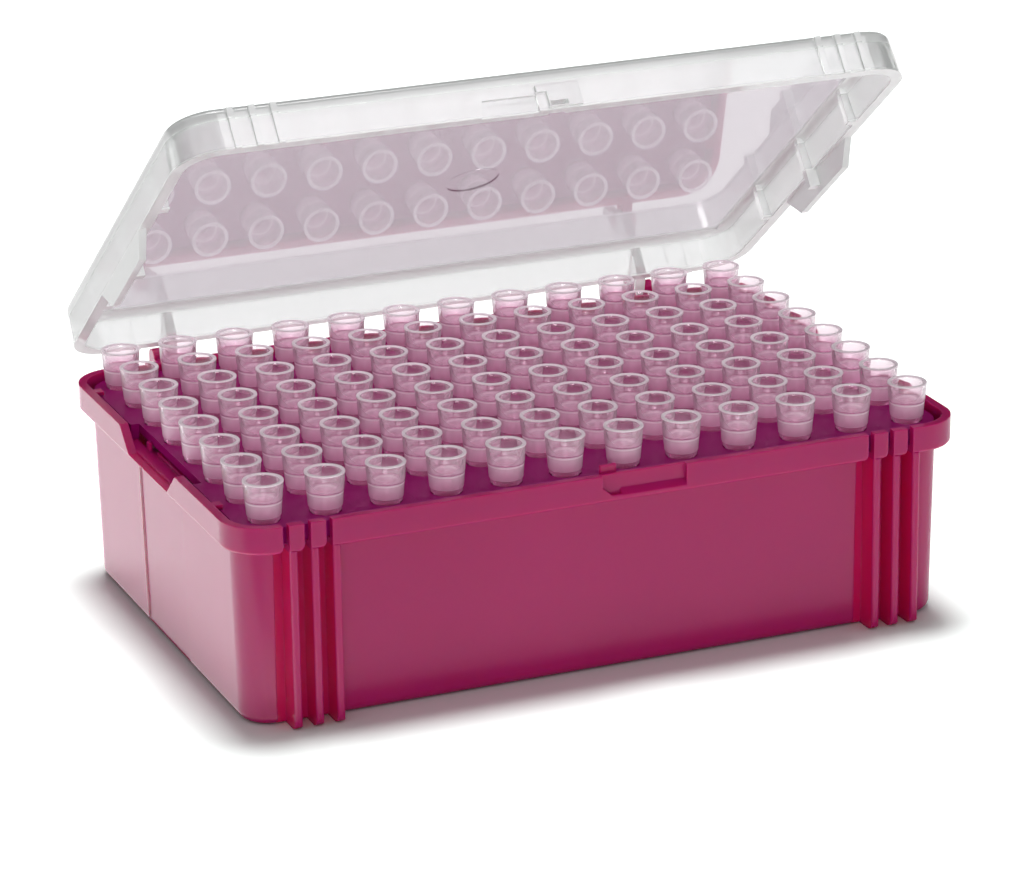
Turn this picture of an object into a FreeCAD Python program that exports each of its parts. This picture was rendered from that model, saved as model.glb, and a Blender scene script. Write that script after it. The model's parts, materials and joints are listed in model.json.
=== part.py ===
import FreeCAD, Part

import math
import os
import re
import Sketcher

# A hinged box that holds 96 small pipette tips on the 9 mm laboratory grid.
# Frame: origin at the middle of the underside, +X along the twelve tips of a row,
# the latch on the -Y side, the hinge on the +Y side, +Z up. Lengths are millimetres.

doc = FreeCAD.newDocument("pipette_tip_box")

DIMENSIONS = [
    # the grid
    ("pitch", 9), ("column_count", 12), ("row_count", 8),
    # how far a cut runs past the part, how far a piece sinks into what it joins, and the
    # gap left between neighbours
    ("overrun", 1), ("bite", 0.1), ("fit_gap", 0.1),
    # the box: a tub with a wider collar round its top
    ("box_height", 30.4), ("collar_length", 112), ("collar_width", 75.6),
    ("collar_height", 3.95), ("collar_wall", 1.3), ("collar_radius", 6.5),
    ("shoulder_length", 108.5), ("shoulder_width", 70.3), ("tub_draft", 0.5),
    ("tub_radius", 5), ("tub_wall", 1.4), ("floor_thickness", 1.5),
    ("foot_rounding", 1.5), ("collar_rounding", 0.45), ("ledge_thickness", 0.8),
    # the stiffening fins and the slots beside them
    ("fin_width", 1.15), ("fin_nose", 0.35), ("fin_pitch", 3.15), ("fin_first", 40.65),
    ("fin_root", 1), ("fin_set_spacing", 89.2), ("slot_width", 0.95), ("slot_flare", 1.05),
    ("slot_depth", 2.4), ("recess_depth", 0.55), ("front_recess_margin", 1.5),
    ("rear_recess_margin", 1),
    # the middle of each short side
    ("channel_half", 9.5), ("channel_depth", 0.2), ("notch_top_half", 12.5),
    ("notch_foot_half", 8.7), ("notch_sill", 0.5), ("lip_half", 5.6), ("lip_height", 0.5),
    ("nub_place", 8.2), ("nub_width", 1.2), ("nub_depth", 0.5), ("nub_height", 1.4),
    ("catch_front", 24.6), ("catch_rear", 29), ("catch_width", 1.6), ("catch_reach", 0.5),
    ("catch_height", 0.6),
    # the latch in the middle of the front
    ("latch_half", 1.5), ("receiver_depth", 0.7), ("receiver_low", 0.95),
    ("receiver_high", 2.2), ("hook_half", 1.2), ("hook_rise", 1.1), ("hook_thickness", 0.7),
    ("hook_inset", 0.15), ("hook_root", 0.3), ("thumb_length", 10), ("thumb_depth", 0.7),
    ("thumb_low", 0.8), ("thumb_slope", 0.9),
    # the deck that carries the tips
    ("deck_gap", 0.9), ("deck_drop", 0.9), ("deck_thickness", 1.3), ("deck_skirt", 1.2),
    ("deck_radius", 5), ("deck_hole_radius", 2.3), ("deck_cut_half", 14), ("deck_cut_place", 52.55),
    ("deck_front_cut_half", 3), ("deck_front_cut_place", 34.2), ("deck_rib_thickness", 1),
    ("deck_rib_depth", 3), ("deck_rib_length", 100),
    # a tip, from its mouth down
    ("tip_length", 31.5), ("tip_stand", 5.8), ("tip_mouth_radius", 2.9),
    ("tip_collar_radius", 2.5), ("tip_neck_radius", 2.15), ("tip_end_radius", 0.45),
    ("tip_bore_radius", 2.35), ("tip_socket_depth", 7), ("tip_socket_radius", 1.6),
    ("tip_orifice_radius", 0.22),
    # the lid, and the hinge that it turns on
    ("lid_length", 111.6), ("lid_height", 6.6), ("lid_wall", 1.7), ("lid_roof", 1.2),
    ("lid_draft", 0.3),
    ("lid_radius", 6.5), ("lid_rounding", 1.2), ("lid_inner_rounding", 0.9),
    ("hinge_setback", 3.3), ("hinge_drop", 0.35), ("pin_radius", 1), ("pin_clearance", 0.05),
    ("eye_radius", 1.85), ("arm_inner", 38.2), ("arm_thickness", 1.6), ("arm_rise", 5.4),
    ("arm_lean", 35), ("lug_gap", 0.2), ("lug_thickness", 1.6), ("lug_radius", 1.3),
    ("lug_root", 0.4), ("lug_foot", 0.6), ("lug_drop", 1.4), ("lid_open_angle", 38.2),
    ("lid_travel", 105), ("heel_gap", 0.06), ("heel_low", 0.2), ("heel_height", 1.5),
    ("ridge_width", 0.9), ("ridge_proud", 0.35), ("ridge_drop", 0.5), ("rib_width", 1.3),
    ("rib_depth", 1.3),
    ("rib_spacing", 18), ("tab_gap", 0.3), ("tab_drop", 3.3), ("tab_thickness", 1.05),
    ("middle_rib_drop", 2.6), ("window_half", 1.35), ("window_low", 0.5),
    ("window_high", 1.2), ("latch_wall", 1.2), ("latch_block_foot", 0.25),
    ("latch_block_step", 1), ("latch_block_proud", 0.5), ("latch_block_length", 5),
    ("latch_block_height", 3.5), ("grip_length", 8.8), ("grip_height", 2.6),
    ("grip_slant", 0.7), ("grip_depth", 0.55), ("gate_radius", 4.05), ("gate_depth", 0.3),
]

# Levels and places that follow from those. In the lid's own frame, used by the names that
# start with lid_, the origin is on the hinge line and the lid is shut.
FOLLOWING = [
    ("foot_half_length", "shoulder_length / 2 - tub_draft"),
    ("foot_half_width", "shoulder_width / 2 - tub_draft"),
    ("collar_foot", "box_height - collar_height"),
    ("ledge_top", "collar_foot + ledge_thickness"),
    ("seat_half_length", "collar_length / 2 - collar_wall"),
    ("seat_half_width", "collar_width / 2 - collar_wall"),
    ("first_fin", "-fin_first - 2 * fin_pitch - fin_width"),
    ("lip_back", "deck_cut_place + fit_gap"),
    ("hinge_y", "collar_width / 2 + hinge_setback"),
    ("hinge_z", "box_height - hinge_drop"),
    ("deck_top", "box_height - deck_drop"),
    ("deck_underside", "deck_top - deck_thickness"),
    ("tip_mouth", "deck_top + tip_stand"),
    ("lid_rim", "hinge_drop + fit_gap"),
    ("lid_top", "lid_rim + lid_height"),
    ("lid_ceiling", "lid_top - lid_roof"),
    ("lid_middle", "-collar_width / 2 - hinge_setback"),
    ("lid_front", "-collar_width - hinge_setback"),
]

ALIASES = {alias for alias, _ in DIMENSIONS + FOLLOWING}

sheet = doc.addObject("Spreadsheet::Sheet", "Dimensions")
for row, (alias, value) in enumerate(DIMENSIONS + FOLLOWING, start=1):
    sheet.set(f"A{row}", alias)
    sheet.set(f"B{row}", f"={value}")
    sheet.setAlias(f"B{row}", alias)
doc.recompute()


def named(expression):
    """Write an expression on plain dimension names as one on the spreadsheet."""
    def full(word):
        return f"Dimensions.{word[0]}" if word[0] in ALIASES else word[0]
    return re.sub("[a-z_]+", full, expression)


def size(expression):
    return float(sheet.evalExpression(named(expression)))


def origin_feature(body, role):
    return next(part for part in body.Origin.OriginFeatures if part.Role == role)


def new_body(name):
    body = doc.addObject("PartDesign::Body", name)
    body.Label = name
    return body


def new_sketch(body, name, plane, height="0", shift="0"):
    """A sketch on an origin plane, raised along its normal and shifted along its second axis."""
    sketch = body.newObject("Sketcher::SketchObject", name)
    sketch.AttachmentSupport = [(origin_feature(body, plane), "")]
    sketch.MapMode = "FlatFace"
    sketch.setExpression("AttachmentOffset.Base.z", named(height))
    sketch.setExpression("AttachmentOffset.Base.y", named(shift))
    return sketch


def bind(sketch, kind, where, expression, name):
    """Add a dimension to a sketch and drive it from the spreadsheet."""
    index = sketch.addConstraint(Sketcher.Constraint(kind, *where, size(expression)))
    sketch.renameConstraint(index, name)
    sketch.setExpression(f"Constraints.{name}", named(expression))


def rounded_rectangle(body, name, length, width, radius, height="0", shift="0"):
    """A rectangle with round corners about the sketch's origin, on the XY plane."""
    sketch = new_sketch(body, name, "XY_Plane", height, shift)
    half_x, half_y, r = size(length) / 2, size(width) / 2, size(radius)
    in_x, in_y = half_x - r, half_y - r
    sides = [
        ((-in_x, -half_y), (in_x, -half_y)),
        ((half_x, -in_y), (half_x, in_y)),
        ((in_x, half_y), (-in_x, half_y)),
        ((-half_x, in_y), (-half_x, -in_y)),
    ]
    for start, end in sides:
        sketch.addGeometry(Part.LineSegment(FreeCAD.Vector(*start, 0), FreeCAD.Vector(*end, 0)))
    corners = [((in_x, -in_y), 270), ((in_x, in_y), 0), ((-in_x, in_y), 90), ((-in_x, -in_y), 180)]
    for centre, angle in corners:
        circle = Part.Circle(FreeCAD.Vector(*centre, 0), FreeCAD.Vector(0, 0, 1), r)
        sketch.addGeometry(
            Part.ArcOfCircle(circle, math.radians(angle), math.radians(angle + 90))
        )
    for side in range(4):
        sketch.addConstraint(Sketcher.Constraint("Tangent", side, 2, 4 + side, 1))
        sketch.addConstraint(Sketcher.Constraint("Tangent", 4 + side, 2, (side + 1) % 4, 1))
        sketch.addConstraint(Sketcher.Constraint("Vertical" if side % 2 else "Horizontal", side))
    for corner in range(4, 7):
        sketch.addConstraint(Sketcher.Constraint("Equal", corner, corner + 1))
    sketch.addConstraint(Sketcher.Constraint("Symmetric", 4, 3, 6, 3, -1, 1))
    bind(sketch, "Radius", (4,), radius, "corner")
    bind(sketch, "DistanceX", (3, 1, 1, 1), length, "length")
    bind(sketch, "DistanceY", (0, 1, 2, 1), width, "width")
    return sketch


def outline(body, name, plane, corners, height="0", shift="0", arcs=None):
    """A closed outline through corners whose places are expressions.

    arcs maps the number of a side to the expressions of a point that its arc passes
    and of its radius.
    """
    arcs = arcs or {}
    sketch = new_sketch(body, name, plane, height, shift)
    points = [FreeCAD.Vector(size(x), size(y), 0) for x, y in corners]
    for side, start in enumerate(points):
        end = points[(side + 1) % len(points)]
        if side in arcs:
            via = FreeCAD.Vector(size(arcs[side][0]), size(arcs[side][1]), 0)
            sketch.addGeometry(Part.Arc(start, via, end))
        else:
            sketch.addGeometry(Part.LineSegment(start, end))
    # an arc keeps its ends in counter-clockwise order, whichever way it was drawn
    ends = []
    for side, start in enumerate(points):
        ends.append((1, 2) if sketch.getPoint(side, 1).isEqual(start, 1e-6) else (2, 1))
    for side in range(len(points)):
        after = (side + 1) % len(points)
        joint = Sketcher.Constraint("Coincident", side, ends[side][1], after, ends[after][0])
        sketch.addConstraint(joint)
        bind(sketch, "DistanceX", (-1, 1, side, ends[side][0]), corners[side][0], f"x{side}")
        bind(sketch, "DistanceY", (-1, 1, side, ends[side][0]), corners[side][1], f"y{side}")
        if side in arcs:
            bind(sketch, "Radius", (side,), arcs[side][2], f"arc{side}")
    return sketch


def rectangle(body, name, plane, x, y, height="0", shift="0"):
    """An outline of four corners between two expressions along each axis."""
    corners = [(x[0], y[0]), (x[1], y[0]), (x[1], y[1]), (x[0], y[1])]
    return outline(body, name, plane, corners, height, shift)


def disc(body, name, plane, x, y, radius, height="0"):
    sketch = new_sketch(body, name, plane, height)
    centre = FreeCAD.Vector(size(x), size(y), 0)
    sketch.addGeometry(Part.Circle(centre, FreeCAD.Vector(0, 0, 1), size(radius)))
    bind(sketch, "DistanceX", (-1, 1, 0, 3), x, "across")
    bind(sketch, "DistanceY", (-1, 1, 0, 3), y, "up")
    bind(sketch, "Radius", (0,), radius, "radius")
    return sketch


def extrude(kind, body, sketch, length, backwards=False, middle=False, draft=None):
    """A Pad or a Pocket of a sketch, checked to change the body's volume."""
    before = body.Shape.Volume if body.Tip and not body.Shape.isNull() else 0
    feature = body.newObject(f"PartDesign::{kind}", f"{sketch.Name}_{kind.lower()}")
    feature.Profile = sketch
    feature.setExpression("Length", named(length))
    feature.Reversed = backwards
    feature.Midplane = middle
    if draft:
        feature.setExpression("TaperAngle", named(draft))
    doc.recompute()
    gained = feature.Shape.Volume - before
    if (gained if kind == "Pad" else -gained) < 1e-3:
        raise RuntimeError(f"{feature.Name} changes nothing")
    return feature


def pad(body, sketch, length, **options):
    return extrude("Pad", body, sketch, length, **options)


def pocket(body, sketch, length, **options):
    return extrude("Pocket", body, sketch, length, **options)


def fillet(body, name, feature, radius, chosen):
    """Round the edges of a feature that a test chooses."""
    edges = [f"Edge{i}" for i, edge in enumerate(feature.Shape.Edges, start=1) if chosen(edge)]
    rounding = body.newObject("PartDesign::Fillet", name)
    rounding.Base = (feature, edges)
    rounding.setExpression("Radius", named(radius))
    doc.recompute()
    return rounding


def flat_at(level):
    """A test for edges that lie in the plane z = level, written as an expression."""
    z = size(level)
    return lambda edge: abs(edge.BoundBox.ZMin - z) < 1e-4 and abs(edge.BoundBox.ZMax - z) < 1e-4


def row_of(body, name, features, role, spacing, count):
    """Repeat features along an origin axis, spacing apart."""
    pattern = body.newObject("PartDesign::LinearPattern", name)
    pattern.Originals = features
    pattern.Direction = (origin_feature(body, role), [""])
    pattern.setExpression("Occurrences", named(count))
    pattern.setExpression("Length", named(f"( {spacing} ) * ( {count} - 1 )"))
    body.Tip = pattern
    doc.recompute()
    return pattern


def mirror(body, name, features):
    """Repeat features on the other side of the YZ plane."""
    pattern = body.newObject("PartDesign::Mirrored", name)
    pattern.Originals = features
    pattern.MirrorPlane = (origin_feature(body, "YZ_Plane"), [""])
    body.Tip = pattern
    doc.recompute()
    return pattern


def sets_of_fins(body, name, features):
    """Three fins at a pitch, and the same three again at the other end of the side."""
    sets = body.newObject("PartDesign::MultiTransform", name)
    sets.Originals = features
    steps = []
    for step, spacing, count in (("fins", "fin_pitch", "3"), ("ends", "fin_set_spacing", "2")):
        pattern = body.newObject("PartDesign::LinearPattern", f"{name}_{step}")
        pattern.Direction = (origin_feature(body, "X_Axis"), [""])
        pattern.setExpression("Occurrences", count)
        pattern.setExpression("Length", named(f"{spacing} * ( {count} - 1 )"))
        steps.append(pattern)
    sets.Transformations = steps
    body.Tip = sets
    doc.recompute()
    return sets


def make_base():
    """The moulded box: a drafted tub, its collar, fins, notches, latch hook and hinge lugs."""
    body = new_body("base")
    foot = rounded_rectangle(
        body, "foot_outline", "shoulder_length - 2 * tub_draft", "shoulder_width - 2 * tub_draft",
        "tub_radius - tub_draft",
    )
    tub = pad(body, foot, "collar_foot", draft="atan(tub_draft / collar_foot)")
    fillet(body, "foot_edge", tub, "foot_rounding", flat_at("0"))

    collar_outline = rounded_rectangle(
        body, "collar_outline", "collar_length", "collar_width", "collar_radius", "collar_foot"
    )
    collar = pad(body, collar_outline, "collar_height")
    outside = size("shoulder_width / 2 + 1")
    fillet(
        body, "collar_foot_edge", collar, "collar_rounding",
        lambda edge: flat_at("collar_foot")(edge) and lies_beyond(edge, outside),
    )

    seat = rounded_rectangle(
        body, "seat_outline", "2 * seat_half_length", "2 * seat_half_width",
        "collar_radius - collar_wall", "box_height",
    )
    pocket(body, seat, "collar_height - ledge_thickness")
    mouth = rounded_rectangle(
        body, "tub_mouth", "shoulder_length - 2 * tub_wall", "shoulder_width - 2 * tub_wall",
        "tub_radius - tub_wall", "ledge_top",
    )
    pocket(
        body, mouth, "ledge_top - floor_thickness",
        draft="-atan(tub_draft / collar_foot)",
    )

    add_side_features(body)
    add_front_fins(body)
    add_rear_fins(body)
    add_latch(body)
    add_hinge_lugs(body)
    return body


def lies_beyond(edge, limit):
    """Whether an edge keeps outside the tub: no point of it is nearer the middle than limit."""
    box = edge.BoundBox
    nearest_x = 0 if box.XMin < 0 < box.XMax else min(abs(box.XMin), abs(box.XMax))
    nearest_y = 0 if box.YMin < 0 < box.YMax else min(abs(box.YMin), abs(box.YMax))
    end_limit = size("shoulder_length / 2 + 0.5")
    corner_limit = size("collar_width / 2 - collar_radius - 0.1")
    return nearest_y > limit or nearest_x > end_limit or (
        nearest_y > corner_limit and nearest_x > size("collar_length / 2 - collar_radius - 0.1")
    )


def add_side_features(body):
    """The channel, the notch for the lid's tab and the deck's catches on each short side."""
    liner = rectangle(
        body, "channel_liner", "XY_Plane",
        ("foot_half_length - tub_wall - channel_depth", "shoulder_length / 2 - tub_wall / 2"),
        ("-channel_half", "channel_half"), "floor_thickness / 2",
    )
    liner_pad = pad(body, liner, "ledge_top - floor_thickness / 2")
    channel = outline(body, "channel", "XZ_Plane", [
        ("foot_half_length - channel_depth", "-overrun"),
        ("foot_half_length + overrun", "-overrun"),
        ("foot_half_length + overrun", "collar_foot"),
        ("shoulder_length / 2 - channel_depth", "collar_foot"),
        ("foot_half_length - channel_depth", "foot_rounding"),
    ])
    channel_pocket = pocket(body, channel, "2 * channel_half", middle=True)

    notch = outline(body, "tab_notch", "YZ_Plane", [
        ("-notch_foot_half", "collar_foot + notch_sill"),
        ("notch_foot_half", "collar_foot + notch_sill"),
        ("notch_top_half", "box_height"),
        ("notch_top_half", "box_height + overrun"),
        ("-notch_top_half", "box_height + overrun"),
        ("-notch_top_half", "box_height"),
    ], height="seat_half_length")
    notch_pocket = pocket(body, notch, "2 * collar_wall", backwards=True)

    lip = rectangle(
        body, "deck_lip", "XY_Plane",
        ("foot_half_length - tub_wall - channel_depth", "lip_back"),
        ("-lip_half", "lip_half"), "ledge_top - bite",
    )
    lip_pad = pad(body, lip, "lip_height + bite")
    nub = rectangle(
        body, "deck_nub", "XY_Plane",
        ("lip_back", "lip_back + nub_depth"),
        ("nub_place - nub_width / 2", "nub_place + nub_width / 2"), "ledge_top - bite",
    )
    nub_pad = pad(body, nub, "nub_height")

    catches = []
    for name, place in (("front_catch", "-catch_front"), ("rear_catch", "catch_rear")):
        catch = rectangle(
            body, name, "XY_Plane",
            ("seat_half_length - deck_gap - catch_reach", "seat_half_length + bite"),
            (f"{place} - catch_width / 2", f"{place} + catch_width / 2"), "deck_top + fit_gap",
        )
        catches.append(pad(body, catch, "catch_height"))
    mirror(
        body, "other_short_side",
        [liner_pad, channel_pocket, notch_pocket, lip_pad, nub_pad, *catches],
    )


def add_fin(body, name, start, face, root, inward):
    """An upright fin with a round nose, flush with the collar's face, and a round foot.

    inward is the sign that leads from the face towards the tub.
    """
    end = f"{start} + fin_width"
    shy, nose = "fin_nose * ( 1 - sqrt(0.5) )", f"{face} {inward} fin_nose"
    section = outline(
        body, name, "XY_Plane", [
            (start, root), (start, nose), (f"{start} + fin_nose", face),
            (f"{end} - fin_nose", face), (end, nose), (end, root),
        ],
        arcs={
            1: (f"{start} + {shy}", f"{face} {inward} {shy}", "fin_nose"),
            3: (f"{end} - {shy}", f"{face} {inward} {shy}", "fin_nose"),
        },
    )
    upright = pad(body, section, "collar_foot + bite")
    outward = "-" if inward == "+" else "+"
    bulge = "foot_rounding * ( 1 - sqrt(0.5) )"
    foot = outline(
        body, f"{name}_foot", "YZ_Plane", [
            (f"{face} {outward} overrun", "-overrun"),
            (f"{face} {inward} foot_rounding", "-overrun"),
            (f"{face} {inward} foot_rounding", "0"),
            (face, "foot_rounding"),
            (f"{face} {outward} overrun", "foot_rounding"),
        ], start,
        arcs={2: (f"{face} {inward} {bulge}", bulge, "foot_rounding")},
    )
    return [upright, pocket(body, foot, "fin_width", backwards=True)]


def add_front_fins(body):
    """Three fins near each end of the front, each with a slot in the collar beside it."""
    recess = rectangle(
        body, "front_recess", "XZ_Plane",
        ("first_fin - front_recess_margin", "-fin_first"), ("-overrun", "collar_foot"),
        "collar_width / 2",
    )
    recess_pocket = pocket(body, recess, "collar_width / 2 - foot_half_width + recess_depth")
    row_of(body, "front_recesses", [recess_pocket], "X_Axis", "fin_set_spacing", "2")

    fin = add_fin(
        body, "front_fin", "first_fin", "-collar_width / 2", "-foot_half_width + fin_root", "+"
    )
    left, right = "first_fin - slot_width", "first_fin"
    flare = "slot_flare * ( 1 - sqrt(0.5) )"
    slot = outline(
        body, "collar_slot", "XZ_Plane", [
            (f"{left} - slot_flare", "collar_foot"),
            (f"{left} - slot_flare", "collar_foot - overrun"),
            (right, "collar_foot - overrun"),
            (right, "box_height + overrun"),
            (left, "box_height + overrun"),
            (left, "collar_foot + slot_flare"),
        ], "collar_width / 2",
        arcs={5: (f"{left} - {flare}", f"collar_foot + {flare}", "slot_flare")},
    )
    slot_pocket = pocket(body, slot, "slot_depth")
    sets_of_fins(body, "front_fins", [*fin, slot_pocket])


def add_rear_fins(body):
    """Two fins near each end of the back, outboard of the hinge lugs."""
    start = "fin_first + fin_pitch"
    recess = rectangle(
        body, "rear_recess", "XZ_Plane",
        (
            f"{start} - rear_recess_margin",
            f"{start} + fin_pitch + fin_width + rear_recess_margin",
        ),
        ("-overrun", "collar_foot"), "-collar_width / 2",
    )
    recess_pocket = pocket(
        body, recess, "collar_width / 2 - foot_half_width + recess_depth", backwards=True
    )
    fins = []
    for name, place in (("rear_fin", start), ("outer_rear_fin", f"{start} + fin_pitch")):
        fins += add_fin(
            body, name, place, "collar_width / 2", "foot_half_width - fin_root", "-"
        )
    mirror(body, "other_rear_fins", [recess_pocket, *fins])


def add_latch(body):
    """The receiver and its hook in the middle of the front, and the thumb recess beside it."""
    receiver = outline(body, "receiver", "XZ_Plane", [
        ("0", "collar_foot + receiver_low"),
        ("latch_half", "collar_foot + receiver_low"),
        ("latch_half", "box_height + overrun"),
        ("-latch_half", "box_height + overrun"),
        ("-latch_half", "collar_foot + receiver_high"),
    ], "collar_width / 2")
    pocket(body, receiver, "receiver_depth")
    scoop = outline(body, "thumb_recess", "YZ_Plane", [
        ("-collar_width / 2 - overrun", "box_height + overrun"),
        ("-collar_width / 2 - overrun", "collar_foot + thumb_low"),
        ("-collar_width / 2", "collar_foot + thumb_low"),
        ("-collar_width / 2 + thumb_depth", "collar_foot + thumb_low + thumb_slope"),
        ("-collar_width / 2 + thumb_depth", "box_height + overrun"),
    ], "latch_half")
    pocket(body, scoop, "thumb_length", backwards=True)
    inner_face = "-collar_width / 2 + collar_wall"
    hook = outline(body, "latch_hook", "YZ_Plane", [
        (f"{inner_face} - hook_root", "ledge_top - bite"),
        (f"{inner_face} + hook_thickness", "ledge_top - bite"),
        (f"{inner_face} + hook_thickness", "box_height + hook_rise"),
        (f"{inner_face} + hook_inset", "box_height + hook_rise"),
        (f"{inner_face} + hook_inset", "box_height"),
        (f"{inner_face} - hook_root", "box_height"),
    ])
    pad(body, hook, "2 * hook_half", middle=True)


def add_hinge_lugs(body):
    """A lug at each end of the hinge line, with a stub pin that points inwards."""
    inner = "arm_inner + arm_thickness + lug_gap"
    lug = outline(
        body, "hinge_lug", "YZ_Plane", [
            ("collar_width / 2 - lug_root", "collar_foot + lug_foot"),
            ("hinge_y + lug_radius", "hinge_z - lug_drop"),
            ("hinge_y + lug_radius", "hinge_z"),
            ("hinge_y", "hinge_z + lug_radius"),
            ("hinge_y - lug_radius", "hinge_z"),
            ("collar_width / 2 - lug_root", "hinge_z"),
        ], inner,
        arcs={
            2: (
                "hinge_y + lug_radius * sqrt(0.5)", "hinge_z + lug_radius * sqrt(0.5)",
                "lug_radius",
            ),
            3: (
                "hinge_y - lug_radius * sqrt(0.5)", "hinge_z + lug_radius * sqrt(0.5)",
                "lug_radius",
            ),
        },
    )
    lug_pad = pad(body, lug, "lug_thickness")
    pin = disc(
        body, "hinge_pin", "YZ_Plane", "hinge_y", "hinge_z", "pin_radius", f"{inner} + bite"
    )
    pin_pad = pad(body, pin, "arm_thickness + lug_gap + 2 * bite", backwards=True)
    mirror(body, "other_lug", [lug_pad, pin_pad])


def make_deck():
    """The perforated plate that sits in the collar and carries the tips."""
    body = new_body("tip_deck")
    length = "2 * ( seat_half_length - deck_gap )"
    width = "2 * ( seat_half_width - deck_gap )"
    plate = rounded_rectangle(
        body, "plate_outline", length, width, "deck_radius", "deck_underside"
    )
    pad(body, plate, "deck_thickness")
    skirt = rounded_rectangle(body, "skirt_outline", length, width, "deck_radius", "ledge_top")
    pad(body, skirt, "deck_underside - ledge_top")
    hollow = rounded_rectangle(
        body, "skirt_hollow", f"{length} - 2 * deck_skirt", f"{width} - 2 * deck_skirt",
        "deck_radius - deck_skirt", "ledge_top",
    )
    pocket(
        body, hollow, "deck_underside - ledge_top", backwards=True
    )
    rib = rectangle(
        body, "deck_rib", "XY_Plane", ("-deck_rib_length / 2", "deck_rib_length / 2"),
        ("-pitch - deck_rib_thickness / 2", "-pitch + deck_rib_thickness / 2"),
        "deck_underside - deck_rib_depth",
    )
    rib_pad = pad(body, rib, "deck_rib_depth + bite")
    row_of(body, "deck_ribs", [rib_pad], "Y_Axis", "2 * pitch", "2")

    side_cut = rectangle(
        body, "side_cut", "XY_Plane", ("deck_cut_place", "collar_length / 2"),
        ("-deck_cut_half", "deck_cut_half"), "box_height",
    )
    side_pocket = pocket(body, side_cut, "collar_height")
    mirror(body, "other_side_cut", [side_pocket])
    front_cut = rectangle(
        body, "front_cut", "XY_Plane", ("-deck_front_cut_half", "deck_front_cut_half"),
        ("-collar_width / 2", "-deck_front_cut_place"), "box_height",
    )
    pocket(body, front_cut, "collar_height")

    hole = disc(
        body, "tip_hole", "XY_Plane", "-pitch * ( column_count - 1 ) / 2",
        "-pitch * ( row_count - 1 ) / 2", "deck_hole_radius", "box_height",
    )
    hole_pocket = pocket(body, hole, "deck_drop + deck_thickness + overrun")
    grid = body.newObject("PartDesign::LinearPattern", "tip_holes")
    grid.Originals = [hole_pocket]
    grid.Direction = (origin_feature(body, "X_Axis"), [""])
    grid.setExpression("Occurrences", named("column_count"))
    grid.setExpression("Length", named("pitch * ( column_count - 1 )"))
    grid.Direction2 = (origin_feature(body, "Y_Axis"), [""])
    grid.setExpression("Occurrences2", named("row_count"))
    grid.setExpression("Length2", named("pitch * ( row_count - 1 )"))
    body.Tip = grid
    doc.recompute()
    return body


def make_tip_column(number):
    """One column of eight tips, each turned from its profile and standing in the deck."""
    body = new_body(f"tips_column_{number:02d}")
    profile = outline(body, f"tip_profile_{number:02d}", "XZ_Plane", [
        ("tip_bore_radius", "tip_mouth"),
        ("tip_mouth_radius", "tip_mouth"),
        ("tip_collar_radius", "deck_top"),
        ("tip_neck_radius", "deck_top"),
        ("tip_end_radius", "tip_mouth - tip_length"),
        ("tip_orifice_radius", "tip_mouth - tip_length"),
        ("tip_socket_radius", "tip_mouth - tip_socket_depth"),
    ])
    turned = body.newObject("PartDesign::Revolution", f"tip_{number:02d}")
    turned.Profile = profile
    turned.ReferenceAxis = (profile, ["V_Axis"])
    turned.Angle = 360
    doc.recompute()
    row_of(body, f"tips_{number:02d}", [turned], "Y_Axis", "pitch", "row_count")
    place = f"pitch * ( {number} - 1 - ( column_count - 1 ) / 2 )"
    body.setExpression("Placement.Base.x", named(place))
    body.setExpression("Placement.Base.y", named("-pitch * ( row_count - 1 ) / 2"))
    doc.recompute()
    return body


def make_lid():
    """The clear hinged lid, drawn shut about its hinge line and then swung open."""
    body = new_body("lid")
    rim = rounded_rectangle(
        body, "lid_outline", "lid_length", "collar_width", "lid_radius", "lid_rim", "lid_middle"
    )
    shell = pad(body, rim, "lid_height", draft="-atan(lid_draft / lid_height)")
    fillet(body, "lid_edge", shell, "lid_rounding", flat_at("lid_top"))
    mouth = rounded_rectangle(
        body, "lid_mouth", "lid_length - 2 * lid_wall", "collar_width - 2 * lid_wall",
        "lid_radius - lid_wall", "lid_rim", "lid_middle",
    )
    hollow = pocket(
        body, mouth, "lid_height - lid_roof", backwards=True,
        draft="-atan(lid_draft / lid_height)",
    )
    fillet(
        body, "lid_inner_edge", hollow, "lid_inner_rounding", flat_at("lid_ceiling")
    )
    gate = disc(body, "gate_dimple", "XY_Plane", "0", "lid_middle", "gate_radius", "lid_top")
    pocket(body, gate, "gate_depth")

    add_tabs_and_ribs(body)
    add_lid_ridges(body)
    add_lid_latch(body)
    add_hinge_arms(body)
    body.setExpression("Placement.Base.y", named("hinge_y"))
    body.setExpression("Placement.Base.z", named("hinge_z"))
    body.Placement.Rotation = FreeCAD.Rotation(FreeCAD.Vector(1, 0, 0), -size("lid_open_angle"))
    doc.recompute()
    return body


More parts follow.
